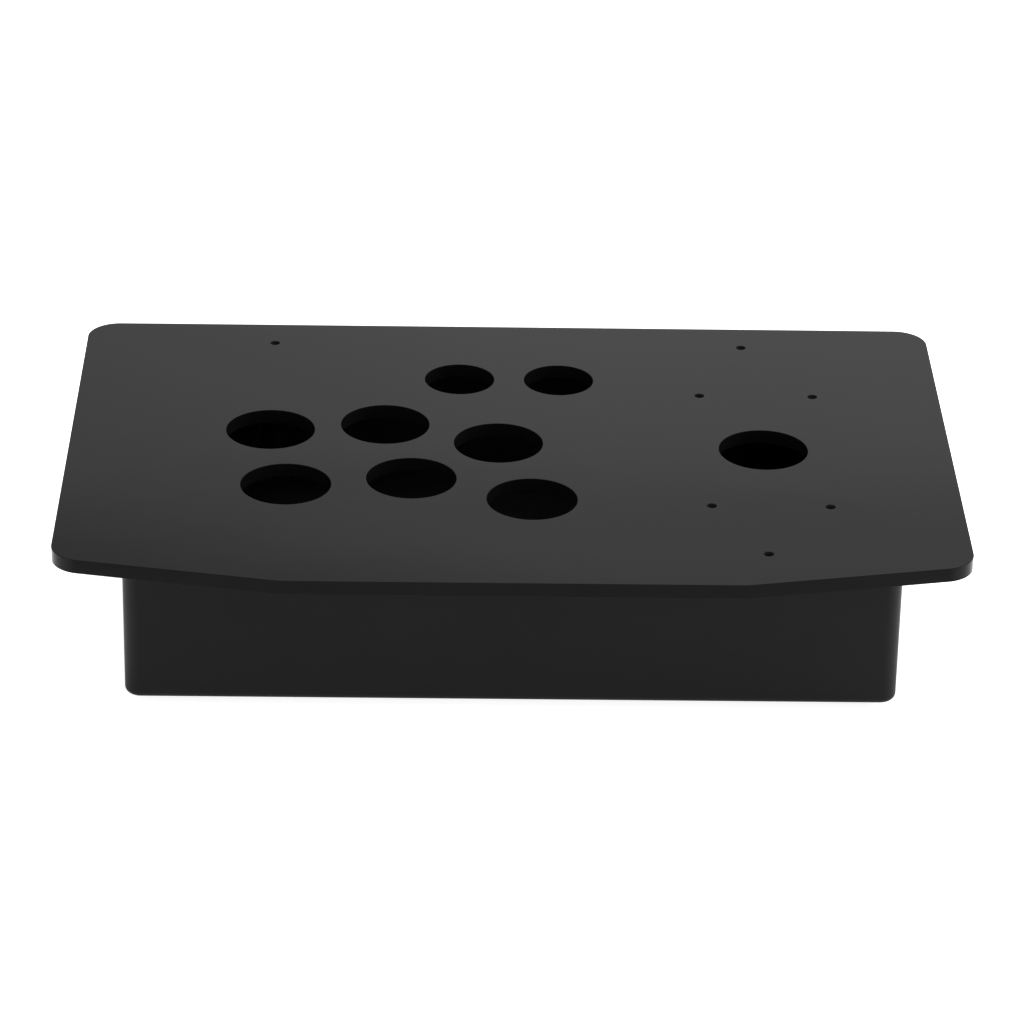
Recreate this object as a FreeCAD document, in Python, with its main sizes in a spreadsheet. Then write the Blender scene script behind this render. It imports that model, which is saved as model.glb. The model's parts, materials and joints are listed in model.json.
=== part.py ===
import FreeCAD, Part

import os

import Sketcher
from FreeCAD import Vector

# Arcade joystick panel: a flat acrylic control panel lying on a shallow moulded case.
# Millimetres, +Z up. The origin is on the floor under the middle of the panel's outline,
# +X is to the player's right and +Y is away from the player.

PARTS_FOLDER = "parts"

# Driving dimensions: alias, value in millimetres, what it is.
DIMENSIONS = [
    ("panel_width", 296.5, "acrylic panel, side to side"),
    ("panel_depth", 195.2, "acrylic panel, front to back"),
    ("panel_thickness", 4.8, "acrylic sheet"),
    ("panel_corner_radius", 11.0, "the four rounded corners"),
    ("panel_front_flat", 148.0, "straight middle stretch of the front edge"),
    ("panel_front_sweep", 14.5, "how far the front edge sweeps back by the sides"),
    ("button_hole_diameter", 30.0, "hole for a full-size push button"),
    ("small_button_hole_diameter", 24.0, "hole for a small push button"),
    ("joystick_hole_diameter", 30.0, "hole for the joystick's shaft"),
    ("screw_hole_diameter", 3.4, "clearance hole for a 3 mm screw"),
    ("upper_left_x", -81.1, "button hole, upper row"),
    ("upper_left_y", 12.3, ""),
    ("upper_middle_x", -42.4, "button hole, upper row"),
    ("upper_middle_y", 17.1, ""),
    ("upper_right_x", -4.1, "button hole, upper row"),
    ("upper_right_y", 3.6, ""),
    ("lower_left_x", -74.6, "button hole, lower row"),
    ("lower_left_y", -28.9, ""),
    ("lower_middle_x", -33.2, "button hole, lower row"),
    ("lower_middle_y", -23.6, ""),
    ("lower_right_x", 6.6, "button hole, lower row"),
    ("lower_right_y", -38.2, ""),
    ("small_button_x", 17.15, "small button holes, either side of the middle"),
    ("small_button_y", 53.6, ""),
    ("joystick_x", 85.0, "joystick hole and its plate's four screw holes"),
    ("joystick_y", 0.3, ""),
    ("plate_spacing_x", 39.0, "joystick plate's screw holes, side to side"),
    ("plate_spacing_y", 84.0, "joystick plate's screw holes, front to back"),
    ("case_screw_x", 82.1, "case screws, either side of the middle"),
    ("case_screw_spacing_y", 157.8, "case screws, front to back"),
    ("case_centre_y", 3.2, "the case lies this far behind the panel's middle"),
    ("case_width", 250.9, "case, side to side"),
    ("case_depth", 171.0, "case, front to back"),
    ("case_height", 46.8, "case, underside to rim"),
    ("case_wall", 2.5, "wall thickness"),
    ("case_floor", 2.5, "floor thickness"),
    ("case_corner_radius", 5.3, "outside of the four upright corners"),
    ("case_base_radius", 2.4, "edge between the walls and the underside"),
    ("boss_diameter", 10.0, "screw boss"),
    ("pilot_diameter", 2.5, "pilot hole for a self-tapping screw"),
    ("pilot_depth", 14.0, ""),
    ("gusset_length", 14.0, "gusset's foot, from the boss's axis"),
    ("gusset_height", 30.0, "gusset's top above the floor"),
    ("gusset_toe", 2.0, "gusset's height at its outer end"),
    ("gusset_thickness", 2.0, ""),
    ("foot_inset_x", 18.5, "foot's axis from the case's side"),
    ("foot_inset_y", 17.0, "foot's axis from the case's front or back"),
    ("foot_diameter", 16.0, "rubber foot where it sticks to the case"),
    ("foot_tip_diameter", 14.6, "rubber foot where it stands"),
    ("foot_stick_out", 3.0, "rubber foot below the case"),
    ("foot_recess_depth", 0.6, "recess that locates a foot"),
    ("foot_recess_gap", 0.3, "around a foot in its recess"),
    ("foot_edge_radius", 0.7, "around the tip"),
    ("outlet_diameter", 16.0, "lead outlet in the back wall"),
    ("outlet_x", 45.0, "lead outlet's axis, towards the player's right"),
    ("outlet_height", 24.0, "lead outlet's axis above the case's underside"),
    ("grommet_bore", 10.0, "rubber grommet's hole"),
    ("grommet_flange_diameter", 21.0, ""),
    ("grommet_flange_thickness", 2.2, "each side of the wall"),
    ("grommet_gap", 0.05, "between the grommet's waist and the outlet"),
    ("grommet_edge_radius", 0.8, "rounding of the flanges"),
]

BUTTON_HOLES = [f"{row}_{place}" for row in ("upper", "lower") for place in ("left", "middle", "right")]
ORIGIN = -1  # the sketcher's own number for a sketch's origin and horizontal axis
START, END, CENTRE = 1, 2, 3  # the sketcher's own numbers for a curve's points
LEFT_RIGHT = (-1, 1)
FRONT_REAR = (-1, 1)
PANEL_SCREW_CORNERS = ((-1, 1), (1, 1), (1, -1))  # the panel has no screw hole at the front left
SNAP = 1e-4  # two lengths this close are the same


def make_sheet(doc):
    """The spreadsheet that drives every size."""
    sheet = doc.addObject("Spreadsheet::Sheet", "dims")
    for row, (alias, value, note) in enumerate(DIMENSIONS, start=1):
        sheet.set(f"A{row}", alias)
        sheet.set(f"B{row}", str(value))
        sheet.set(f"C{row}", note)
        sheet.setAlias(f"B{row}", alias)
    doc.recompute()
    return sheet


def named(text):
    """An expression in plain aliases, such as "case_width / 2", with each alias read from the sheet."""
    aliases = {alias for alias, _, _ in DIMENSIONS}
    words = text.replace("(", "( ").replace(")", " )").split()
    return " ".join(f"dims.{word}" if word in aliases else word for word in words)


def value_of(text, sheet):
    """The present value of such an expression, in millimetres."""
    return float(sheet.evalExpression(named(text).replace("dims.", "")))


def plane_of(body, role):
    """One of a body's own origin planes."""
    return next(feature for feature in body.Origin.OriginFeatures if feature.Role == role)


def new_body(doc, name):
    body = doc.addObject("PartDesign::Body", name)
    body.Label = name
    return body


def new_sketch(body, name, role, height=None):
    """A sketch on one of the body's origin planes, lifted off it by an expression if one is given."""
    sketch = body.newObject("Sketcher::SketchObject", name)
    sketch.AttachmentSupport = [(plane_of(body, role), "")]
    sketch.MapMode = "FlatFace"
    if height:
        sketch.setExpression("AttachmentOffset.Base.z", named(height))
    return sketch


def drive(sketch, constraint, text):
    """Adds a constraint whose value is an expression."""
    index = sketch.addConstraint(constraint)
    sketch.setExpression(f"Constraints[{index}]", named(text))


def place_point(sketch, sheet, curve, point, x, y):
    """Fixes a curve's point at expressions x and y from the sketch's origin."""
    for kind, text in (("DistanceX", x), ("DistanceY", y)):
        constraint = Sketcher.Constraint(kind, ORIGIN, START, curve, point, value_of(text, sheet))
        drive(sketch, constraint, text)


def draw_polygon(sketch, sheet, corners):
    """A closed outline through corners, each a pair of expressions."""
    points = [Vector(value_of(x, sheet), value_of(y, sheet), 0) for x, y in corners]
    count = len(points)
    sides = [Part.LineSegment(points[i], points[(i + 1) % count]) for i in range(count)]
    lines = [sketch.addGeometry(side, False) for side in sides]
    for i, line in enumerate(lines):
        sketch.addConstraint(Sketcher.Constraint("Coincident", line, END, lines[(i + 1) % count], START))
        place_point(sketch, sheet, line, START, *corners[i])


def draw_circle(sketch, sheet, x, y, diameter):
    """A circle centred at expressions x and y."""
    centre = Vector(value_of(x, sheet), value_of(y, sheet), 0)
    size = value_of(diameter, sheet)
    curve = sketch.addGeometry(Part.Circle(centre, Vector(0, 0, 1), size / 2), False)
    place_point(sketch, sheet, curve, CENTRE, x, y)
    drive(sketch, Sketcher.Constraint("Diameter", curve, size), diameter)


def draw_rectangle(sketch, sheet, width, depth):
    """A rectangle centred on the sketch's origin."""
    left, right = f"-1 * ( {width} ) / 2", f"( {width} ) / 2"
    near, far = f"-1 * ( {depth} ) / 2", f"( {depth} ) / 2"
    draw_polygon(sketch, sheet, [(left, near), (right, near), (right, far), (left, far)])


def pad(body, sketch, length, name, both_ways=False):
    feature = body.newObject("PartDesign::Pad", name)
    feature.Profile = sketch
    feature.setExpression("Length", named(length))
    if both_ways:
        feature.SideType = "Symmetric"
    return feature


def pocket(body, sketch, length, name, upwards=False):
    """Cuts from the sketch against its normal, or along it if upwards."""
    feature = body.newObject("PartDesign::Pocket", name)
    feature.Profile = sketch
    feature.setExpression("Length", named(length))
    feature.Reversed = upwards
    return feature


def fillet(body, base, edges, radius, name):
    """Rounds the edges of the feature base."""
    feature = body.newObject("PartDesign::Fillet", name)
    feature.Base = (base, edges)
    feature.setExpression("Radius", named(radius))
    return feature


def edges_where(feature, wanted):
    """Names of a feature's edges for which wanted(edge) is true."""
    return [f"Edge{i}" for i, edge in enumerate(feature.Shape.Edges, start=1) if wanted(edge)]


def is_upright(edge):
    """Is the edge a straight line along Z?"""
    if not isinstance(edge.Curve, Part.Line):
        return False
    return abs(abs(edge.tangentAt(edge.FirstParameter).z) - 1) < SNAP


def is_level_at(edge, height):
    """Does the whole edge lie at that height?"""
    box = edge.BoundBox
    return abs(box.ZMin - height) < SNAP and abs(box.ZMax - height) < SNAP


def put(body, x, y, z):
    """Places a body's origin at expressions x, y and z."""
    for axis, text in (("x", x), ("y", y), ("z", z)):
        body.setExpression(f"Placement.Base.{axis}", named(text))


def must_cut(doc, before, feature):
    """Recomputes, and stops if the feature took nothing away from the volume before it."""
    doc.recompute()
    if feature.Shape.Volume > before - SNAP:
        raise RuntimeError(f"{feature.Label} cuts nothing")
    return feature.Shape.Volume


def make_top_panel(doc, sheet):
    """Flat sheet whose front edge sweeps back by the sides, drilled for joystick, buttons and screws."""
    body = new_body(doc, "top_panel")
    outline = new_sketch(body, "panel_outline", "XY_Plane")
    front, back = "-1 * panel_depth / 2", "panel_depth / 2"
    swept = "panel_front_sweep - panel_depth / 2"
    corners = [
        ("-1 * panel_front_flat / 2", front),
        ("panel_front_flat / 2", front),
        ("panel_width / 2", swept),
        ("panel_width / 2", back),
        ("-1 * panel_width / 2", back),
        ("-1 * panel_width / 2", swept),
    ]
    draw_polygon(outline, sheet, corners)
    slab = pad(body, outline, "panel_thickness", "panel_sheet")
    doc.recompute()

    side = value_of("panel_width / 2", sheet)
    corner_edges = edges_where(slab, lambda e: is_upright(e) and abs(abs(e.CenterOfMass.x) - side) < SNAP)
    rounded = fillet(body, slab, corner_edges, "panel_corner_radius", "panel_corners")
    doc.recompute()

    holes = new_sketch(body, "panel_holes", "XY_Plane")
    for name in BUTTON_HOLES:
        draw_circle(holes, sheet, f"{name}_x", f"{name}_y", "button_hole_diameter")
    for side_sign in LEFT_RIGHT:
        x = f"{side_sign} * small_button_x"
        draw_circle(holes, sheet, x, "small_button_y", "small_button_hole_diameter")
    draw_circle(holes, sheet, "joystick_x", "joystick_y", "joystick_hole_diameter")
    for side_sign in LEFT_RIGHT:
        for depth_sign in FRONT_REAR:
            x = f"joystick_x + {side_sign} * plate_spacing_x / 2"
            y = f"joystick_y + {depth_sign} * plate_spacing_y / 2"
            draw_circle(holes, sheet, x, y, "screw_hole_diameter")
    for side_sign, depth_sign in PANEL_SCREW_CORNERS:
        x = f"{side_sign} * case_screw_x"
        y = f"case_centre_y + {depth_sign} * case_screw_spacing_y / 2"
        draw_circle(holes, sheet, x, y, "screw_hole_diameter")
    drilled = pocket(body, holes, "panel_thickness", "panel_drilling", upwards=True)
    must_cut(doc, rounded.Shape.Volume, drilled)
    put(body, "0", "0", "foot_stick_out + case_height")
    return body


def make_case_shell(doc, sheet, body):
    """The case's walls and floor, open at the top."""
    outline = new_sketch(body, "case_outline", "XY_Plane")
    draw_rectangle(outline, sheet, "case_width", "case_depth")
    block = pad(body, outline, "case_height", "case_block")
    doc.recompute()
    corners = fillet(body, block, edges_where(block, is_upright), "case_corner_radius", "case_corners")
    doc.recompute()
    base_edges = edges_where(corners, lambda edge: is_level_at(edge, 0))
    base = fillet(body, corners, base_edges, "case_base_radius", "case_base_edge")
    doc.recompute()

    cavity = new_sketch(body, "case_cavity", "XY_Plane", "case_height")
    draw_rectangle(cavity, sheet, "case_width - 2 * case_wall", "case_depth - 2 * case_wall")
    hollow = pocket(body, cavity, "case_height - case_floor", "case_hollow")
    must_cut(doc, base.Shape.Volume, hollow)
    inner = value_of("case_width / 2 - case_wall", sheet)
    inner_edges = edges_where(hollow, lambda e: is_upright(e) and abs(abs(e.CenterOfMass.x) - inner) < SNAP)
    fillet(body, hollow, inner_edges, "case_corner_radius - case_wall", "case_inner_corners")
    doc.recompute()


def add_bosses(doc, sheet, body):
    """Four screw bosses that run into the front and back walls, with a gusset on both sides of each."""
    bosses = new_sketch(body, "boss_circles", "XY_Plane", "case_floor / 2")
    for side_sign in LEFT_RIGHT:
        for depth_sign in FRONT_REAR:
            x = f"{side_sign} * case_screw_x"
            y = f"{depth_sign} * case_screw_spacing_y / 2"
            draw_circle(bosses, sheet, x, y, "boss_diameter")
    pad(body, bosses, "case_height - case_floor / 2", "bosses")
    doc.recompute()

    gussets = new_sketch(body, "gusset_outlines", "XZ_Plane", "case_screw_spacing_y / 2")
    for side_sign in LEFT_RIGHT:
        axis = f"{side_sign} * case_screw_x"
        corners = [
            (f"{axis} - gusset_length", "case_floor / 2"),
            (f"{axis} + gusset_length", "case_floor / 2"),
            (f"{axis} + gusset_length", "case_floor + gusset_toe"),
            (axis, "case_floor + gusset_height"),
            (f"{axis} - gusset_length", "case_floor + gusset_toe"),
        ]
        draw_polygon(gussets, sheet, corners)
    ribs = pad(body, gussets, "gusset_thickness", "front_gussets", both_ways=True)
    doc.recompute()

    rear = body.newObject("PartDesign::Mirrored", "rear_gussets")
    rear.Originals = [ribs]
    rear.MirrorPlane = (plane_of(body, "XZ_Plane"), [""])
    body.Tip = rear
    doc.recompute()


def cut_case_openings(doc, sheet, body):
    """Pilot holes in the bosses, the lead outlet in the back wall and the feet's recesses."""
    volume = body.Shape.Volume
    pilots = new_sketch(body, "pilot_circles", "XY_Plane", "case_height")
    recesses = new_sketch(body, "recess_circles", "XY_Plane")
    for side_sign in LEFT_RIGHT:
        for depth_sign in FRONT_REAR:
            x = f"{side_sign} * case_screw_x"
            y = f"{depth_sign} * case_screw_spacing_y / 2"
            draw_circle(pilots, sheet, x, y, "pilot_diameter")
            x = f"{side_sign} * ( case_width / 2 - foot_inset_x )"
            y = f"{depth_sign} * ( case_depth / 2 - foot_inset_y )"
            draw_circle(recesses, sheet, x, y, "foot_diameter + 2 * foot_recess_gap")
    volume = must_cut(doc, volume, pocket(body, pilots, "pilot_depth", "pilot_holes"))
    recessed = pocket(body, recesses, "foot_recess_depth", "foot_recesses", upwards=True)
    volume = must_cut(doc, volume, recessed)

    outlet = new_sketch(body, "outlet_circle", "XZ_Plane")
    draw_circle(outlet, sheet, "outlet_x", "outlet_height", "outlet_diameter")
    must_cut(doc, volume, pocket(body, outlet, "case_depth / 2", "lead_outlet"))


def make_case_box(doc, sheet):
    """Moulded tray that carries the panel on its rim and bosses."""
    body = new_body(doc, "case_box")
    make_case_shell(doc, sheet, body)
    add_bosses(doc, sheet, body)
    cut_case_openings(doc, sheet, body)
    put(body, "0", "case_centre_y", "foot_stick_out")
    return body


def revolve(doc, sheet, body, corners, name):
    """Turns an outline of radius and height expressions about the body's Z axis."""
    profile = new_sketch(body, f"{name}_profile", "XZ_Plane")
    draw_polygon(profile, sheet, corners)
    turned = body.newObject("PartDesign::Revolution", name)
    turned.Profile = profile
    turned.ReferenceAxis = (profile, ["V_Axis"])
    turned.Angle = 360
    doc.recompute()
    return turned


def make_foot(doc, sheet, name, side_sign, depth_sign):
    """Round rubber foot that tapers to the floor, stuck in a shallow recess under the case."""
    body = new_body(doc, name)
    corners = [
        ("0", "0"),
        ("foot_tip_diameter / 2", "0"),
        ("foot_diameter / 2", "foot_stick_out"),
        ("foot_diameter / 2", "foot_stick_out + foot_recess_depth"),
        ("0", "foot_stick_out + foot_recess_depth"),
    ]
    plug = revolve(doc, sheet, body, corners, f"{name}_plug")
    tip_edges = edges_where(plug, lambda edge: is_level_at(edge, 0))
    fillet(body, plug, tip_edges, "foot_edge_radius", f"{name}_tip")
    x = f"{side_sign} * ( case_width / 2 - foot_inset_x )"
    y = f"case_centre_y + {depth_sign} * ( case_depth / 2 - foot_inset_y )"
    put(body, x, y, "0")
    doc.recompute()
    return body


def make_lead_grommet(doc, sheet):
    """Rubber ring that grips the edge of the lead outlet, turned about the outlet's axis."""
    body = new_body(doc, "lead_grommet")
    bore, rim = "grommet_bore / 2", "grommet_flange_diameter / 2"
    waist = "outlet_diameter / 2 - grommet_gap"
    inside, outside = "-1 * case_wall / 2", "case_wall / 2"
    corners = [
        (bore, f"{inside} - grommet_flange_thickness"),
        (rim, f"{inside} - grommet_flange_thickness"),
        (rim, inside),
        (waist, inside),
        (waist, outside),
        (rim, outside),
        (rim, f"{outside} + grommet_flange_thickness"),
        (bore, f"{outside} + grommet_flange_thickness"),
    ]
    ring = revolve(doc, sheet, body, corners, "grommet_ring")
    end = value_of(f"{outside} + grommet_flange_thickness", sheet)
    radius = value_of(rim, sheet)

    def on_outer_end(edge):
        at_end = is_level_at(edge, end) or is_level_at(edge, -end)
        return at_end and abs(edge.BoundBox.XMax - radius) < SNAP

    fillet(body, ring, edges_where(ring, on_outer_end), "grommet_edge_radius", "grommet_edges")
    body.Placement.Rotation = FreeCAD.Rotation(Vector(1, 0, 0), -90)
    put(body, "outlet_x", "case_centre_y + case_depth / 2 - case_wall / 2", "foot_stick_out + outlet_height")
    doc.recompute()
    return body


def check(doc, bodies):
    """Stops if any object failed or any piece isn't one sound solid."""
    for item in doc.Objects:
        if "Invalid" in item.State or "Error" in item.State:
            raise RuntimeError(f"{item.Label} failed: {item.State}")
    for body in bodies:
        shape = body.Shape
        if shape.isNull() or not shape.isValid() or len(shape.Solids) != 1:
            raise RuntimeError(f"{body.Label} isn't one valid solid")


def main():
    doc = FreeCAD.newDocument("arcade_joystick_panel")
    sheet = make_sheet(doc)
    bodies = [make_top_panel(doc, sheet), make_case_box(doc, sheet)]
    for depth_word, depth_sign in (("front", -1), ("rear", 1)):
        for side_word, side_sign in (("left", -1), ("right", 1)):
            bodies.append(make_foot(doc, sheet, f"foot_{depth_word}_{side_word}", side_sign, depth_sign))
    bodies.append(make_lead_grommet(doc, sheet))
    doc.recompute()
    check(doc, bodies)
    os.makedirs(PARTS_FOLDER, exist_ok=True)
    for body in bodies:
        body.Shape.exportStep(os.path.join(PARTS_FOLDER, f"{body.Label}.step"))
        box = body.Shape.BoundBox
        size = f"{box.XLength:.2f} x {box.YLength:.2f} x {box.ZLength:.2f} mm"
        print(f"{body.Label}: {body.Shape.Volume:.0f} mm3, {size}")


main()
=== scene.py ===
import json
import math
from functools import partial

import bmesh
import bpy
from mathutils import Matrix, Vector


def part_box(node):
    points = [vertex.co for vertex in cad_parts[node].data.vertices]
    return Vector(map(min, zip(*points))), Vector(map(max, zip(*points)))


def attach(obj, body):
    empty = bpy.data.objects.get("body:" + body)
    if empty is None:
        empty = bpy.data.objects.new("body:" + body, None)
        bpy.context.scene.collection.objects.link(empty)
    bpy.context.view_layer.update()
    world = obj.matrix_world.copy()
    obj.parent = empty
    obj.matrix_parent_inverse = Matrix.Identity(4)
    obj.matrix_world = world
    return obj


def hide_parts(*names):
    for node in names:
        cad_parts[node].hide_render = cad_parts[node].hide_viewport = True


# Looks of the arcade joystick panel: a glossy black acrylic sheet lying on a moulded black
# case with rubber feet and a lead grommet. Metres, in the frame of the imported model.

MM = 0.001

# Top panel
PANEL_CORNER_RADIUS = 11.0 * MM
PANEL_FRONT_FLAT = 148.0 * MM
PANEL_FRONT_SWEEP = 14.5 * MM
PANEL_BEND_RADIUS = 0.5 * MM
PANEL_EDGE_BREAK = 0.12 * MM
SMALL_HOLE_EDGE_BREAK = 0.08 * MM

# Case
CASE_CORNER_RADIUS = 5.3 * MM
CASE_BASE_RADIUS = 2.4 * MM
CASE_WALL = 2.5 * MM
CASE_FLOOR = 2.5 * MM
CASE_FLOOR_FILLET = 1.2 * MM
CASE_RIM_EDGE = 0.35 * MM
BOSS_RADIUS = 5.0 * MM
PILOT_RADIUS = 1.25 * MM
PILOT_DEPTH = 14.0 * MM
GUSSET_LENGTH = 14.0 * MM
GUSSET_HEIGHT = 30.0 * MM
GUSSET_TOE = 2.0 * MM
GUSSET_THICKNESS = 2.0 * MM
OUTLET_RADIUS = 8.0 * MM

# Feet
FEET = ("foot_front_left", "foot_front_right", "foot_rear_left", "foot_rear_right")
FOOT_RECESS_GAP = 0.3 * MM
FOOT_TAPER = 0.7 * MM  # the tip's radius is this much smaller
FOOT_TAPER_TOP = 0.1 * MM  # the taper ends this far below the case
FOOT_TIP_ROUND = 0.7 * MM
FOOT_DISH_RADIUS = 3.2 * MM
FOOT_DISH_DEPTH = 0.5 * MM
FOOT_DISH_FLAT = 0.75  # the dish's flat middle, as a share of its radius

# Grommet
GROMMET_FIT = 0.05 * MM  # between its waist and the outlet
GROMMET_CROWN = 1.0 * MM
GROMMET_LIP = 0.6 * MM

# Places of the finishes in each piece's list of materials. Place 0, the sheet's face or the case's
# outside, is what a face has unless it is given another.
LASER_CUT = 1
# The small holes' walls take a lighter grey: painted light in their dark insides.
DRILLED = 2
# The case's inside takes a lighter grey: painted light in its shaded hollow.
CASE_INSIDE = 1

# How finely round shapes are divided
HOLE_STEPS = 128
SMALL_HOLE_STEPS = 48
BOSS_STEPS = 72
PILOT_STEPS = 32
CORNER_STEPS = 20
EDGE_STEPS = 4
RIM_STEPS = 3
FILLET_STEPS = 5
BASE_STEPS = 10
RUBBER_EDGE_STEPS = 6
RUBBER_LIP_STEPS = 5
REVOLVE_STEPS = 96
SMOOTH_ANGLE = math.radians(32)
FLATS_WEIGHT = 80  # how strongly large flat faces hold the shading flat

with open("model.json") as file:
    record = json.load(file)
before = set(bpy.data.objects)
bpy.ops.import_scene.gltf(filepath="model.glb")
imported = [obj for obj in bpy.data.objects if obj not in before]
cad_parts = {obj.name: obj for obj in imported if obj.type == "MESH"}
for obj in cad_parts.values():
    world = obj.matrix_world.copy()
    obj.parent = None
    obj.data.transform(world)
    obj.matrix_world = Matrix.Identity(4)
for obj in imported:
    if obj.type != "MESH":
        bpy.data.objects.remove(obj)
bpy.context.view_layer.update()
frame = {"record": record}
mounts = {mount["name"]: mount for mount in frame["record"]["mounts"]}


# ---------------------------------------------------------------- outlines and meshes


def circle(centre, radius, steps):
    """Points round a circle, anticlockwise."""
    turn = 2 * math.pi / steps
    return [
        Vector((centre[0] + radius * math.cos(i * turn), centre[1] + radius * math.sin(i * turn)))
        for i in range(steps)
    ]


def rounded_outline(corners, radii, inset=0.0):
    """An anticlockwise outline with a round at each corner, moved in by inset with as many points."""
    points = []
    count = len(corners)
    for i, corner in enumerate(corners):
        here = Vector(corner)
        before = (Vector(corners[i - 1]) - here).normalized()
        after = (Vector(corners[(i + 1) % count]) - here).normalized()
        half = before.angle(after) / 2
        centre = here + (before + after).normalized() * (radii[i] / math.sin(half))
        start = math.atan2(-before.x, before.y) + math.pi
        turn = math.pi - 2 * half
        steps = max(2, round(CORNER_STEPS * turn / (math.pi / 2)))
        for k in range(steps + 1):
            angle = start + turn * k / steps
            points.append(centre + (radii[i] - inset) * Vector((math.cos(angle), math.sin(angle))))
    return points


def hole_outline(centre, radius, steps, inset):
    """A hole's edge, moved out into the sheet by inset."""
    return circle(centre, radius + inset, steps)


def rectangle(low, high):
    """Corners of a rectangle, anticlockwise."""
    return [(low[0], low[1]), (high[0], low[1]), (high[0], high[1]), (low[0], high[1])]


def quarter_round(radius, steps=EDGE_STEPS):
    """(inset, depth) pairs down a rounded edge, from the flat face to the wall."""
    angles = [math.pi / 2 * k / steps for k in range(steps + 1)]
    return [(radius * (1 - math.sin(angle)), radius * (1 - math.cos(angle))) for angle in angles]


def add_ring(bm, points, z):
    """New vertices at the points, all at one height."""
    return [bm.verts.new((point.x, point.y, z)) for point in points]


def bridge(bm, lower, upper, finish=0):
    """Quads between two rings with as many points, facing away from an anticlockwise ring's inside."""
    count = len(lower)
    for i in range(count):
        j = (i + 1) % count
        bm.faces.new((lower[i], lower[j], upper[j], upper[i])).material_index = finish


def ring_edges(bm, ring):
    """The edges round a ring, made where they don't exist yet."""
    pairs = zip(ring, ring[1:] + ring[:1])
    return [bm.edges.get(pair) or bm.edges.new(pair) for pair in pairs]


def fill(bm, rings):
    """A flat face bounded by the first ring, with the others as holes in it."""
    edges = [edge for ring in rings for edge in ring_edges(bm, ring)]
    bmesh.ops.triangle_fill(bm, use_beauty=True, use_dissolve=False, edges=edges)


def finish_mesh(bm, name):
    """Turns a bmesh into an object with outward normals."""
    bmesh.ops.recalc_face_normals(bm, faces=bm.faces[:])
    mesh = bpy.data.meshes.new(name)
    bm.to_mesh(mesh)
    bm.free()
    piece = bpy.data.objects.new(name, mesh)
    bpy.context.scene.collection.objects.link(piece)
    return piece


def apply_modifiers(piece):
    """Makes the piece's modified mesh its own."""
    graph = bpy.context.evaluated_depsgraph_get()
    mesh = bpy.data.meshes.new_from_object(piece.evaluated_get(graph))
    piece.modifiers.clear()
    piece.data = mesh


def smooth(piece):
    """Smooth shading that keeps hard edges, with flats lying truly flat."""
    piece.data.shade_smooth()
    piece.data.set_sharp_from_angle(angle=SMOOTH_ANGLE)
    weighted = piece.modifiers.new("flats", "WEIGHTED_NORMAL")
    weighted.keep_sharp = True
    weighted.weight = FLATS_WEIGHT
    apply_modifiers(piece)


def combine(piece, tool, operation):
    """Joins the tool to the piece or cuts it out, and removes the tool."""
    step = piece.modifiers.new(operation.lower(), "BOOLEAN")
    step.operation = operation
    step.solver = "EXACT"
    step.object = tool
    apply_modifiers(piece)
    bpy.data.objects.remove(tool)


def prism(name, points, low, high):
    """A straight-sided solid between two heights."""
    bm = bmesh.new()
    lower, upper = add_ring(bm, points, low), add_ring(bm, points, high)
    bridge(bm, lower, upper)
    bm.faces.new(lower)
    bm.faces.new(upper)
    return finish_mesh(bm, name)


def lathe(name, profile, position, steps=REVOLVE_STEPS):
    """A solid turned from (radius, height) points about Z, then moved. A radius of 0 closes an end."""
    bm = bmesh.new()
    rings = [add_ring(bm, circle((0, 0), radius, steps), height) for radius, height in profile if radius > 0]
    for lower, upper in zip(rings, rings[1:]):
        bridge(bm, lower, upper)
    if len(rings) < len(profile):
        bm.faces.new(rings[0])
        bm.faces.new(rings[-1])
    else:
        bridge(bm, rings[-1], rings[0])
    bmesh.ops.transform(bm, matrix=position, verts=bm.verts[:])
    return finish_mesh(bm, name)


# ---------------------------------------------------------------- pieces


def mount_hole(name):
    """Centre and radius of a round mount."""
    mount = mounts[name]
    return Vector(mount["pos_m"][:2]), mount["dims"]["r_mm"] * MM


def pattern_holes(name):
    """Centres and radius of a bolt pattern's holes."""
    mount = mounts[name]
    dims = mount["dims"]
    across = sorted({sign * dims.get("spacing_x_mm", 0) * MM / 2 for sign in (-1, 1)})
    along = sorted({sign * dims.get("spacing_y_mm", 0) * MM / 2 for sign in (-1, 1)})
    middle = Vector(mount["pos_m"][:2])
    return [middle + Vector((dx, dy)) for dx in across for dy in along], dims["hole_r_mm"] * MM


def panel_loops():
    """Every loop of the panel as (function of inset giving points, edge break, finish), outline first."""
    low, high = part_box("top_panel")
    flat = PANEL_FRONT_FLAT / 2
    corners = [
        (-flat, low.y),
        (flat, low.y),
        (high.x, low.y + PANEL_FRONT_SWEEP),
        (high.x, high.y),
        (low.x, high.y),
        (low.x, low.y + PANEL_FRONT_SWEEP),
    ]
    radii = [PANEL_BEND_RADIUS] * 2 + [PANEL_CORNER_RADIUS] * 4
    loops = [(partial(rounded_outline, corners, radii), PANEL_EDGE_BREAK, LASER_CUT)]
    big = [name for name, mount in mounts.items() if mount["kind"] == "bore" and name != "lead_outlet"]
    for name in big:
        centre, radius = mount_hole(name)
        loops.append((partial(hole_outline, centre, radius, HOLE_STEPS), PANEL_EDGE_BREAK, LASER_CUT))
    small = []
    for pattern in ("joystick_plate_screws", "case_screws_rear", "case_screws_right"):
        centres, radius = pattern_holes(pattern)
        for centre in centres:
            if all((centre - other).length > radius for other in small):
                small.append(centre)
                outline = partial(hole_outline, centre, radius, SMALL_HOLE_STEPS)
                loops.append((outline, SMALL_HOLE_EDGE_BREAK, DRILLED))
    return loops


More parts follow.
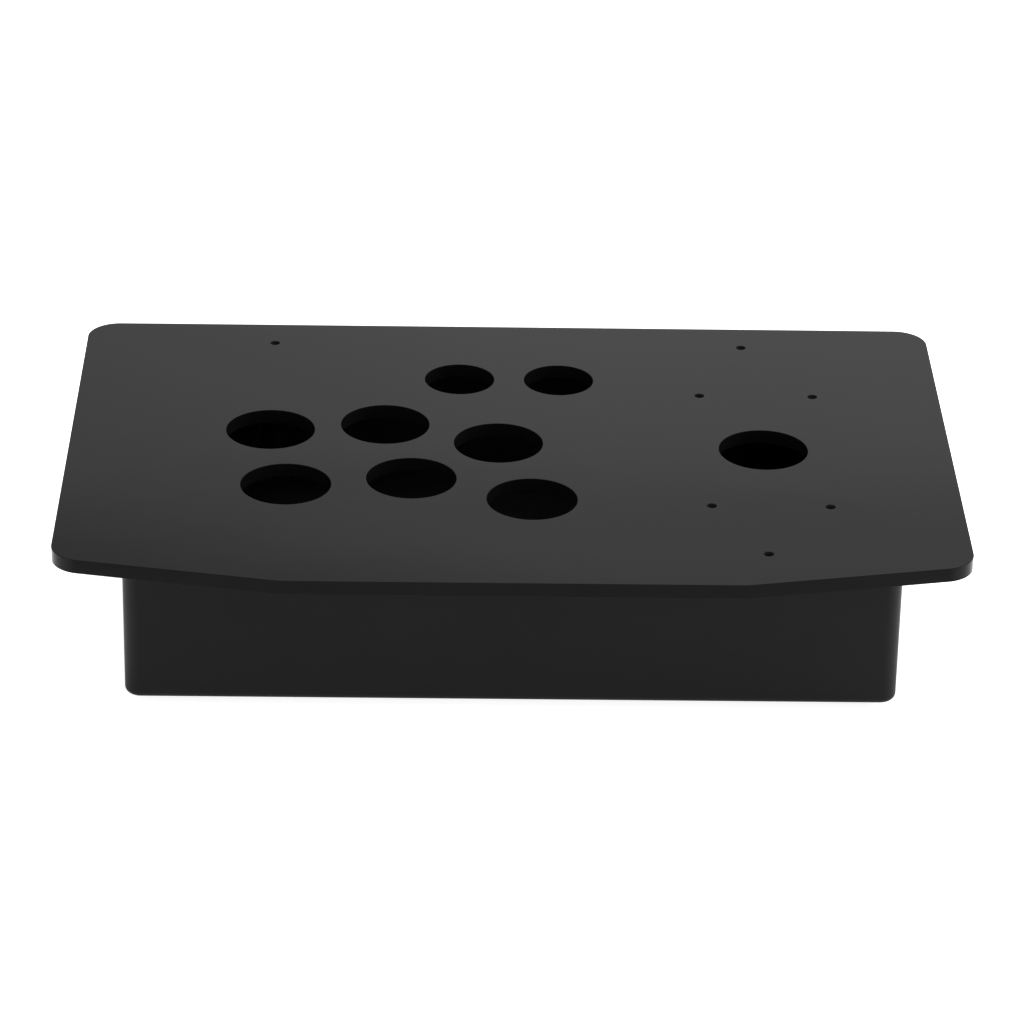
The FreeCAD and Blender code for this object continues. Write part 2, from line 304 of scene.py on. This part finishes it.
def make_panel():
    """The acrylic sheet, every edge of it very slightly broken."""
    low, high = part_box("top_panel")
    bm = bmesh.new()
    top_rings, bottom_rings = [], []
    for loop, edge_break, finish in panel_loops():
        steps = quarter_round(edge_break)
        rings = [add_ring(bm, loop(inset), low.z + depth) for inset, depth in steps]
        rings += [add_ring(bm, loop(inset), high.z - depth) for inset, depth in reversed(steps)]
        for lower, upper in zip(rings, rings[1:]):
            bridge(bm, lower, upper, finish)
        bottom_rings.append(rings[0])
        top_rings.append(rings[-1])
    fill(bm, bottom_rings)
    fill(bm, top_rings)
    return finish_mesh(bm, "panel_sheet")


def case_screw_centres():
    """The four bosses' axes: under the panel's three case screw holes, and one at the front left."""
    rear, _ = pattern_holes("case_screws_rear")
    right, _ = pattern_holes("case_screws_right")
    across = sorted({point.x for point in rear})
    along = sorted({point.y for point in right})
    return [Vector((x, y)) for x in across for y in along]


def make_tray():
    """Walls and floor of the case as one closed skin, with recesses for the feet."""
    low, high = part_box("case_box")
    outer = rectangle(low, high)
    inner = rectangle((low.x + CASE_WALL, low.y + CASE_WALL), (high.x - CASE_WALL, high.y - CASE_WALL))
    outer_radii = [CASE_CORNER_RADIUS] * 4
    inner_radii = [CASE_CORNER_RADIUS - CASE_WALL] * 4
    floor = low.z + CASE_FLOOR
    bm = bmesh.new()
    rings = []
    for inset, depth in quarter_round(CASE_BASE_RADIUS, BASE_STEPS):
        rings.append(add_ring(bm, rounded_outline(outer, outer_radii, inset), low.z + depth))
    for inset, depth in reversed(quarter_round(CASE_RIM_EDGE, RIM_STEPS)):
        rings.append(add_ring(bm, rounded_outline(outer, outer_radii, inset), high.z - depth))
    for inset, depth in quarter_round(CASE_RIM_EDGE, RIM_STEPS):
        rings.append(add_ring(bm, rounded_outline(inner, inner_radii, -inset), high.z - depth))
    for inset, depth in reversed(quarter_round(CASE_FLOOR_FILLET, FILLET_STEPS)):
        rings.append(add_ring(bm, rounded_outline(inner, inner_radii, inset), floor + depth))
    for lower, upper in zip(rings, rings[1:]):
        bridge(bm, lower, upper)
    fill(bm, [rings[-1]])

    recesses = []
    for name in FEET:
        foot_low, foot_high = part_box(name)
        centre = (foot_low + foot_high) / 2
        radius = (foot_high.x - foot_low.x) / 2 + FOOT_RECESS_GAP
        mouth = add_ring(bm, circle(centre, radius, SMALL_HOLE_STEPS), low.z)
        end = add_ring(bm, circle(centre, radius, SMALL_HOLE_STEPS), foot_high.z)
        bridge(bm, mouth, end)
        fill(bm, [end])
        recesses.append(mouth)
    fill(bm, [rings[0]] + recesses)
    return finish_mesh(bm, "case_shell")


def make_gusset(name, axis, floor):
    """A flat rib across a boss, highest at the boss's axis."""
    outline = [
        (-GUSSET_LENGTH, -CASE_FLOOR / 2),
        (GUSSET_LENGTH, -CASE_FLOOR / 2),
        (GUSSET_LENGTH, GUSSET_TOE),
        (0, GUSSET_HEIGHT),
        (-GUSSET_LENGTH, GUSSET_TOE),
    ]
    bm = bmesh.new()
    sides = []
    for sign in (-1, 1):
        y = axis.y + sign * GUSSET_THICKNESS / 2
        sides.append([bm.verts.new((axis.x + x, y, floor + z)) for x, z in outline])
    bridge(bm, *sides)
    bm.faces.new(sides[0])
    bm.faces.new(sides[1])
    return finish_mesh(bm, name)


def mark_inside(case):
    """Gives the faces within the walls, above the floor and below the rim the inside's material, a lighter
    grey that is painted light in the shaded case.
    """
    low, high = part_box("case_box")
    reach = CASE_WALL - CASE_RIM_EDGE / 2
    for face in case.data.polygons:
        middle = face.center
        across = low.x + reach < middle.x < high.x - reach
        along = low.y + reach < middle.y < high.y - reach
        if across and along and low.z + CASE_FLOOR / 2 < middle.z < high.z - CASE_RIM_EDGE:
            face.material_index = CASE_INSIDE


def make_case():
    """The tray with its bosses, gussets, pilot holes and lead outlet."""
    low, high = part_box("case_box")
    floor = low.z + CASE_FLOOR
    case = make_tray()
    for centre in case_screw_centres():
        boss = prism("boss", circle(centre, BOSS_RADIUS, BOSS_STEPS), floor - CASE_FLOOR / 2, high.z)
        combine(case, boss, "UNION")
        combine(case, make_gusset("gusset", centre, floor), "UNION")
        pilot_outline = circle(centre, PILOT_RADIUS, PILOT_STEPS)
        pilot = prism("pilot", pilot_outline, high.z - PILOT_DEPTH, high.z + CASE_WALL)
        combine(case, pilot, "DIFFERENCE")
    outlet = Vector(mounts["lead_outlet"]["pos_m"])
    quarter_turn = Matrix.Rotation(-math.pi / 2, 4, "X")
    corners = rectangle((0, -CASE_WALL), (OUTLET_RADIUS, CASE_WALL))
    drill = lathe("drill", corners, Matrix.Translation(outlet) @ quarter_turn)
    combine(case, drill, "DIFFERENCE")
    mark_inside(case)
    return case


def make_foot(node):
    """A moulded rubber foot: tapered, rounded at the tip and dished underneath."""
    low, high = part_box(node)
    radius = (high.x - low.x) / 2
    height = high.z - low.z
    stick_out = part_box("case_box")[0].z - low.z
    tip = radius - FOOT_TAPER
    flat = FOOT_DISH_RADIUS * FOOT_DISH_FLAT
    rounded = [(tip - inset, depth) for inset, depth in quarter_round(FOOT_TIP_ROUND, RUBBER_EDGE_STEPS)]
    profile = [(0, FOOT_DISH_DEPTH), (flat, FOOT_DISH_DEPTH), (FOOT_DISH_RADIUS, 0), *rounded]
    profile += [(radius, stick_out - FOOT_TAPER_TOP), (radius, height), (0, height)]
    position = Matrix.Translation(Vector(((low.x + high.x) / 2, (low.y + high.y) / 2, low.z)))
    return lathe(f"{node}_rubber", profile, position)


def make_grommet():
    """A rubber ring whose groove holds the edge of the outlet."""
    low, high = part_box("lead_grommet")
    rim = (high.x - low.x) / 2
    half = (high.y - low.y) / 2
    bore = mounts["lead_outlet"]["dims"]["r_mm"] * MM
    waist = OUTLET_RADIUS - GROMMET_FIT
    groove = CASE_WALL / 2
    crown = quarter_round(GROMMET_CROWN, RUBBER_EDGE_STEPS)
    lip = quarter_round(GROMMET_LIP, RUBBER_LIP_STEPS)
    outer_edge = [(rim - inset, half - depth) for inset, depth in crown]
    inner_edge = [(bore + inset, half - depth) for inset, depth in reversed(lip)]
    upper = [(waist, groove), (rim, groove), *reversed(outer_edge), *reversed(inner_edge)]
    lower = [(radius, -height) for radius, height in reversed(upper)]
    position = Matrix.Translation((low + high) / 2) @ Matrix.Rotation(-math.pi / 2, 4, "X")
    return lathe("grommet_rubber", lower + upper, position)


# ---------------------------------------------------------------- materials

BLOOM_GAIN = 1.6  # how much lighter the dusty patches of the rubber are
BLOOM_TINT = (1, 0.99, 0.97)


def new_material(name):
    """A node material and its Principled shader."""
    material = bpy.data.materials.new(name)
    material.use_nodes = True
    return material, material.node_tree, material.node_tree.nodes["Principled BSDF"]


def noise(tree, scale, detail=4.0, roughness=0.55, stretch=(1, 1, 1)):
    """Noise over the object's own coordinates."""
    where = tree.nodes.new("ShaderNodeTexCoord")
    mapping = tree.nodes.new("ShaderNodeMapping")
    mapping.inputs["Scale"].default_value = stretch
    texture = tree.nodes.new("ShaderNodeTexNoise")
    texture.inputs["Scale"].default_value = scale
    texture.inputs["Detail"].default_value = detail
    texture.inputs["Roughness"].default_value = roughness
    tree.links.new(where.outputs["Object"], mapping.inputs["Vector"])
    tree.links.new(mapping.outputs["Vector"], texture.inputs["Vector"])
    return texture.outputs["Fac"]


def to_range(tree, value, low, high, from_low=0.3, from_high=0.7):
    """The value spread between low and high. Noise seldom leaves 0.3 to 0.7."""
    spread = tree.nodes.new("ShaderNodeMapRange")
    spread.inputs["From Min"].default_value = from_low
    spread.inputs["From Max"].default_value = from_high
    spread.inputs["To Min"].default_value = low
    spread.inputs["To Max"].default_value = high
    tree.links.new(value, spread.inputs["Value"])
    return spread.outputs["Result"]


def grey(tree, value, tint=(1, 1, 1)):
    """A colour from one value."""
    colour = tree.nodes.new("ShaderNodeCombineColor")
    for channel, share in zip(("Red", "Green", "Blue"), tint):
        times = tree.nodes.new("ShaderNodeMath")
        times.operation = "MULTIPLY"
        times.inputs[1].default_value = share
        tree.links.new(value, times.inputs[0])
        tree.links.new(times.outputs[0], colour.inputs[channel])
    return colour.outputs["Color"]


def bump(tree, height, distance, strength, normal=None):
    """A bump of that height, on top of an earlier one if given."""
    node = tree.nodes.new("ShaderNodeBump")
    node.inputs["Distance"].default_value = distance
    node.inputs["Strength"].default_value = strength
    tree.links.new(height, node.inputs["Height"])
    if normal:
        tree.links.new(normal, node.inputs["Normal"])
    return node.outputs["Normal"]


def dress(tree, shader, colour, roughness, normal, specular):
    """Connects a finish to its shader."""
    tree.links.new(colour, shader.inputs["Base Color"])
    tree.links.new(roughness, shader.inputs["Roughness"])
    tree.links.new(normal, shader.inputs["Normal"])
    shader.inputs["Specular IOR Level"].default_value = specular


def acrylic_material():
    """Glossy black acrylic: very slightly wavy, with faint smears from handling."""
    material, tree, shader = new_material("black_acrylic")
    cloud = noise(tree, scale=14.0, detail=3.0)
    smear = noise(tree, scale=22.0, detail=5.0, roughness=0.6, stretch=(1, 0.35, 1))
    ripple = noise(tree, scale=20.0, detail=2.0)
    hairlines = noise(tree, scale=900.0, detail=2.0, roughness=0.5, stretch=(0.04, 1, 1))
    waves = bump(tree, ripple, distance=0.03 * MM, strength=1.0)
    colour = grey(tree, to_range(tree, cloud, low=0.0014, high=0.0022))
    roughness = to_range(tree, smear, low=0.03, high=0.06)
    normal = bump(tree, hairlines, distance=0.002 * MM, strength=0.2, normal=waves)
    dress(tree, shader, colour, roughness, normal, specular=0.1)
    return material


def laser_cut_material():
    """The acrylic's cut edge: melted smooth, with faint lines through the thickness."""
    material, tree, shader = new_material("laser_cut_acrylic")
    lines = noise(tree, scale=700.0, detail=3.0, roughness=0.6, stretch=(1, 1, 0.03))
    colour = grey(tree, to_range(tree, noise(tree, scale=60.0), low=0.0030, high=0.0042))
    roughness = to_range(tree, noise(tree, scale=35.0, detail=4.0), low=0.07, high=0.16)
    normal = bump(tree, lines, distance=0.01 * MM, strength=0.35)
    dress(tree, shader, colour, roughness, normal, specular=0.075)
    return material


def drilled_material():
    """The wall of a drilled hole: matt, with tool marks round it, and a lighter grey than the sheet that is
    painted light, lightening the small holes' dark insides.
    """
    material, tree, shader = new_material("drilled_acrylic_painted_lighter")
    marks = noise(tree, scale=4000.0, detail=2.0, roughness=0.5, stretch=(0.03, 0.03, 1))
    # Painted light: this grey is set well above the sheet's so the small holes read lighter inside.
    colour = grey(tree, to_range(tree, noise(tree, scale=500.0), low=0.014, high=0.023))
    roughness = to_range(tree, noise(tree, scale=900.0), low=0.4, high=0.6)
    normal = bump(tree, marks, distance=0.02 * MM, strength=0.5)
    dress(tree, shader, colour, roughness, normal, specular=0.15)
    return material


def case_material():
    """Smooth black moulded plastic with a very fine grain."""
    material, tree, shader = new_material("black_case_plastic")
    cloud = noise(tree, scale=18.0, detail=3.0)
    patches = noise(tree, scale=40.0, detail=4.0)
    sink = noise(tree, scale=12.0, detail=1.0)
    grain = noise(tree, scale=2600.0, detail=3.0, roughness=0.6)
    sunk = bump(tree, sink, distance=0.03 * MM, strength=0.3)
    colour = grey(tree, to_range(tree, cloud, low=0.0034, high=0.0044))
    roughness = to_range(tree, patches, low=0.48, high=0.56)
    normal = bump(tree, grain, distance=0.01 * MM, strength=0.35, normal=sunk)
    dress(tree, shader, colour, roughness, normal, specular=0.13)
    return material


def case_inside_painted_light_material():
    """The case's inside: the same plastic, matt, painted a far lighter grey than the outside so that its
    shaded hollow, seen through the holes, reads dimly lit.
    """
    material, tree, shader = new_material("case_inside_painted_light")
    grain = noise(tree, scale=1800.0, detail=3.0, roughness=0.6)
    # Painted light: this grey is three to four times the outside's, lightening the shaded inside of the
    # case.
    colour = grey(tree, to_range(tree, noise(tree, scale=25.0, detail=3.0), low=0.012, high=0.018))
    roughness = to_range(tree, noise(tree, scale=60.0, detail=4.0), low=0.55, high=0.7)
    normal = bump(tree, grain, distance=0.02 * MM, strength=0.4)
    dress(tree, shader, colour, roughness, normal, specular=0.13)
    return material


def rubber_material(name, darkest):
    """Matt black rubber with a dusty bloom."""
    material, tree, shader = new_material(name)
    bloom = noise(tree, scale=120.0, detail=5.0, roughness=0.65)
    grain = noise(tree, scale=1500.0, detail=3.0, roughness=0.6)
    colour = grey(tree, to_range(tree, bloom, low=darkest, high=darkest * BLOOM_GAIN), BLOOM_TINT)
    roughness = to_range(tree, bloom, low=0.62, high=0.8)
    normal = bump(tree, grain, distance=0.03 * MM, strength=0.4)
    dress(tree, shader, colour, roughness, normal, specular=0.3)
    return material


# ---------------------------------------------------------------- stage, light and camera


def smooth_step(tree, value, start, end, amount):
    """Zero below start and the amount above end, with a soft change between them."""
    step = tree.nodes.new("ShaderNodeMapRange")
    step.interpolation_type = "SMOOTHSTEP"
    step.inputs["From Min"].default_value = start
    step.inputs["From Max"].default_value = end
    step.inputs["To Max"].default_value = amount
    tree.links.new(value, step.inputs["Value"])
    return step.outputs["Result"]


def calculate(tree, operation, first, second):
    """Adds, subtracts or multiplies two values, either of which may be a plain number."""
    node = tree.nodes.new("ShaderNodeMath")
    node.operation = operation
    for socket, value in zip(node.inputs, (first, second)):
        if isinstance(value, (int, float)):
            socket.default_value = value
        else:
            tree.links.new(value, socket)
    return node.outputs[0]


FLOOR_REACH = 12.0
FLOOR_WHITE = (0.5, 0.5, 0.5, 1)
FLOOR_ROUGHNESS = 0.9
FLOOR_GLOW = 0.88
GLOW_AT_SIDES = 1.0
GLOW_BESIDE = (0.125, 0.175)  # the extra light's start and full strength, sideways from the middle
GLOW_BEHIND = (-0.185, -0.135)  # and from front to back


def light_table_material():
    """White floor lit from below like a light table, more at its sides, so that its shadows stay faint."""
    material, tree, shader = new_material("light_table")
    shader.inputs["Base Color"].default_value = FLOOR_WHITE
    shader.inputs["Roughness"].default_value = FLOOR_ROUGHNESS
    shader.inputs["Specular IOR Level"].default_value = 0
    shader.inputs["Emission Color"].default_value = (1, 1, 1, 1)
    where = tree.nodes.new("ShaderNodeTexCoord")
    split = tree.nodes.new("ShaderNodeSeparateXYZ")
    tree.links.new(where.outputs["Object"], split.inputs["Vector"])
    distance = calculate(tree, "ABSOLUTE", split.outputs["X"], 0)
    beside = smooth_step(tree, distance, *GLOW_BESIDE, 1.0)
    behind_front = smooth_step(tree, split.outputs["Y"], *GLOW_BEHIND, GLOW_AT_SIDES)
    glow = calculate(tree, "ADD", calculate(tree, "MULTIPLY", beside, behind_front), FLOOR_GLOW)
    tree.links.new(glow, shader.inputs["Emission Strength"])
    return material


def make_floor():
    """A pale floor that runs far past the object."""
    bm = bmesh.new()
    corners = rectangle((-FLOOR_REACH, -FLOOR_REACH), (FLOOR_REACH, FLOOR_REACH))
    bm.faces.new([bm.verts.new((x, y, 0)) for x, y in corners])
    floor = finish_mesh(bm, "studio_floor")
    floor.data.materials.append(light_table_material())


# Soft upper edges of the lights behind the object, seen in the glossy panel: how far each edge
# slants towards the right, the heights between which it acts, and the change in brightness.
WALL_EDGES = [
    (-0.0213, 0.4355, 0.4677, -0.450),
    (0.0, 0.4455, 0.4632, 0.245),
    (0.1328, 0.4594, 0.4700, -0.162),
]
WALL_BRIGHTNESS = 0.986
WALL_RIGHT_GAIN = 0.2845
WALL_RIGHT_SPAN = (-0.1165, 0.0454)


def make_world():
    """White studio walls: a little brighter to the right, and dimmer above the lights' upper edges."""
    world = bpy.data.worlds.new("studio")
    world.use_nodes = True
    tree = world.node_tree
    direction = tree.nodes.new("ShaderNodeTexCoord")
    split = tree.nodes.new("ShaderNodeSeparateXYZ")
    tree.links.new(direction.outputs["Generated"], split.inputs["Vector"])
    side, height = split.outputs["X"], split.outputs["Z"]
    gain = smooth_step(tree, side, *WALL_RIGHT_SPAN, WALL_RIGHT_GAIN)
    light = calculate(tree, "ADD", gain, WALL_BRIGHTNESS)
    for slant, start, end, change in WALL_EDGES:
        level = calculate(tree, "SUBTRACT", height, calculate(tree, "MULTIPLY", side, slant))
        light = calculate(tree, "ADD", light, smooth_step(tree, level, start, end, change))
    tree.links.new(light, tree.nodes["Background"].inputs["Strength"])
    tree.nodes["Background"].inputs["Color"].default_value = (1, 1, 1, 1)
    bpy.context.scene.world = world


SOFTBOX_PLACE = Vector((1.3, 0.4, 1.0))
SOFTBOX_SIZE = 0.9
SOFTBOX_POWER = 22.0


def make_softbox():
    """A large soft light high on the right, which catches the left walls of the holes.

    It isn't mirrored in the glossy sheet, so no view shows its outline there."""
    data = bpy.data.lights.new("softbox", "AREA")
    data.shape = "SQUARE"
    data.size = SOFTBOX_SIZE
    data.energy = SOFTBOX_POWER
    light = bpy.data.objects.new("softbox", data)
    light.location = SOFTBOX_PLACE
    light.rotation_euler = SOFTBOX_PLACE.to_track_quat("Z", "Y").to_euler()
    light.visible_glossy = False
    bpy.context.scene.collection.objects.link(light)


CAMERA_AZIMUTH = math.radians(1.15)  # looks this much to the right of straight ahead
CAMERA_ELEVATION = math.radians(26.9)
CAMERA_ROLL = math.radians(-1.09)
CAMERA_DISTANCE = 1.443
CAMERA_LENS = 155.4
CAMERA_SENSOR = 36.0
CAMERA_CLIP_END = 50.0
CAMERA_AIM_BEHIND_FRONT = 49.85 * MM  # where the view's middle meets the panel's top, from its front edge
CAMERA_AIM_LEFT = 0.12 * MM


def make_camera():
    """A long lens above the front edge, rolled a degree."""
    low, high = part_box("top_panel")
    aim = Vector((-CAMERA_AIM_LEFT, low.y + CAMERA_AIM_BEHIND_FRONT, high.z))
    facing = Vector((math.sin(CAMERA_AZIMUTH), math.cos(CAMERA_AZIMUTH), 0))
    ahead = facing * math.cos(CAMERA_ELEVATION) - Vector((0, 0, math.sin(CAMERA_ELEVATION)))
    right = Vector((facing.y, -facing.x, 0))
    down = ahead.cross(right)
    rolled_right = math.cos(CAMERA_ROLL) * right + math.sin(CAMERA_ROLL) * down
    rolled_up = math.sin(CAMERA_ROLL) * right - math.cos(CAMERA_ROLL) * down
    data = bpy.data.cameras.new("photo_camera")
    data.lens = CAMERA_LENS
    data.sensor_width = CAMERA_SENSOR
    data.clip_end = CAMERA_CLIP_END
    camera = bpy.data.objects.new("photo_camera", data)
    axes = Matrix((rolled_right, rolled_up, -ahead)).transposed()
    camera.matrix_world = Matrix.Translation(aim - ahead * CAMERA_DISTANCE) @ axes.to_4x4()
    bpy.context.scene.collection.objects.link(camera)
    bpy.context.scene.camera = camera


# ---------------------------------------------------------------- putting it together


def place(piece, materials, body, node):
    """Finishes a piece: its materials, the body it rides on and the node it stands for."""
    for material in materials:
        piece.data.materials.append(material)
    smooth(piece)
    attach(piece, body)
    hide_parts(node)


panel_materials = [acrylic_material(), laser_cut_material(), drilled_material()]
place(make_panel(), panel_materials, "panel", "top_panel")
place(make_case(), [case_material(), case_inside_painted_light_material()], "case", "case_box")
foot_rubber = rubber_material("foot_rubber", 0.012)
for foot in FEET:
    place(make_foot(foot), [foot_rubber], "case", foot)
grommet_rubber = rubber_material("grommet_rubber", 0.010)
place(make_grommet(), [grommet_rubber], "case", "lead_grommet")

make_floor()
make_world()
make_softbox()
make_camera()
bpy.context.scene.view_settings.view_transform = "Standard"
